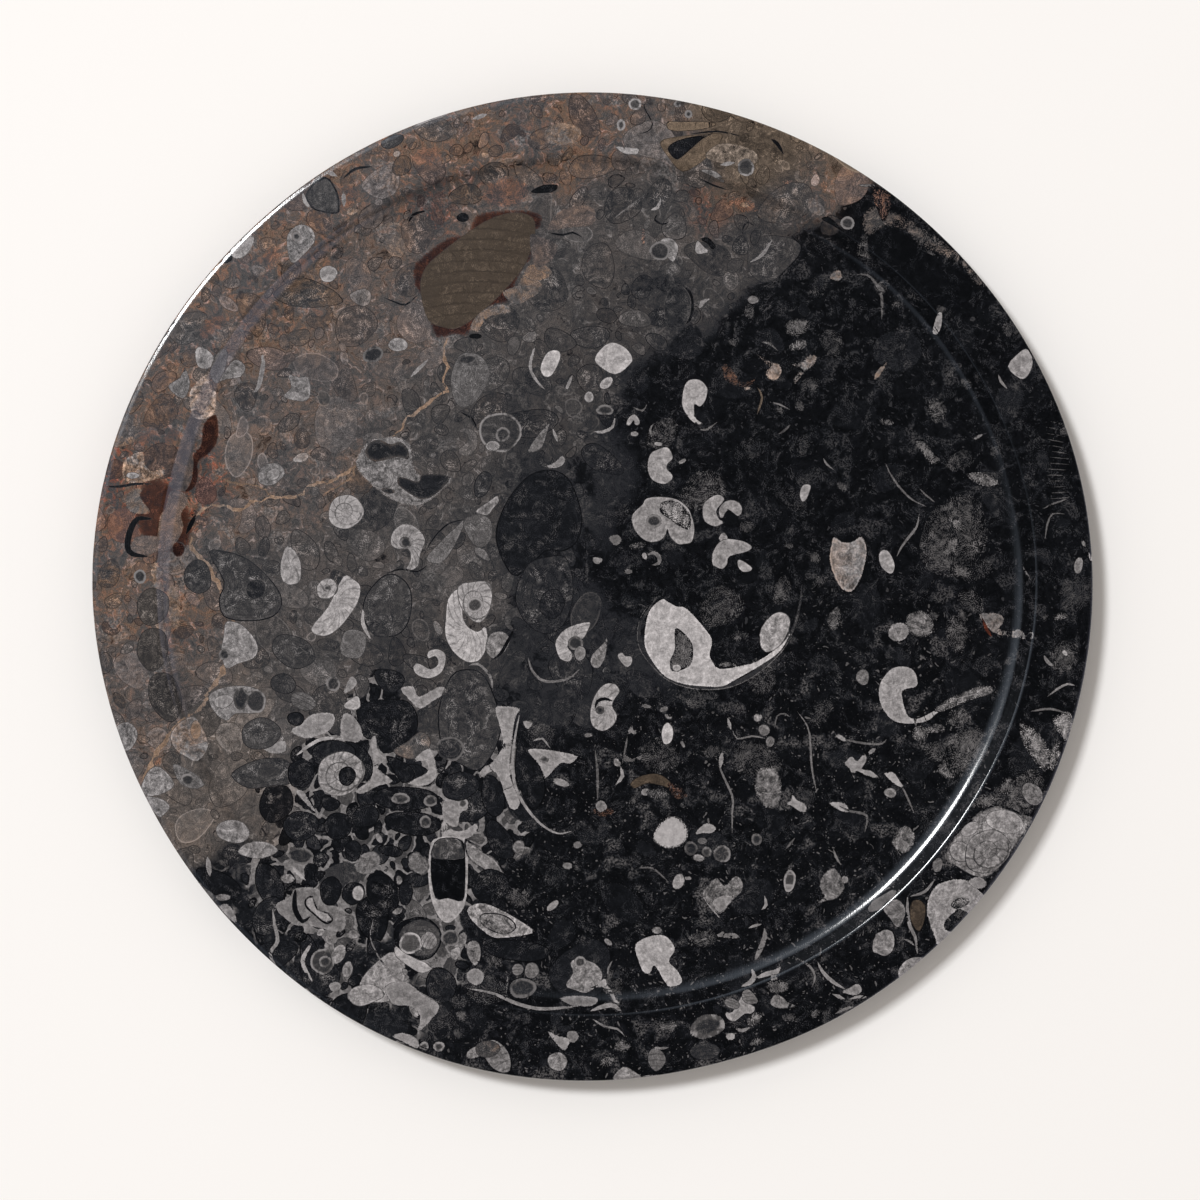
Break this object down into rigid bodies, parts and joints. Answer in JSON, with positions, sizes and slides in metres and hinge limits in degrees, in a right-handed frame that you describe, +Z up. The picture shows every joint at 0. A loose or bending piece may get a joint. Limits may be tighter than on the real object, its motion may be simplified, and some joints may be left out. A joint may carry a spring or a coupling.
{
  "type": "fossil ammonite plate",
  "caption": "Round platter of polished dark limestone, packed with cut ammonite shells, with a flat raised rim round a shallow coved recess.",
  "frame": {"origin": "centre of the flat underside", "axes": "+Z up out of the recess; +Y towards the top of the picture and +X towards its right"},
  "size_m": [0.4004, 0.3956, 0.018],
  "materials": {
    "fossil_limestone": "polished"
  },
  "bodies": {
    "root": {"fossil_plate": "fossil_limestone"}
  },
  "joints": []
}
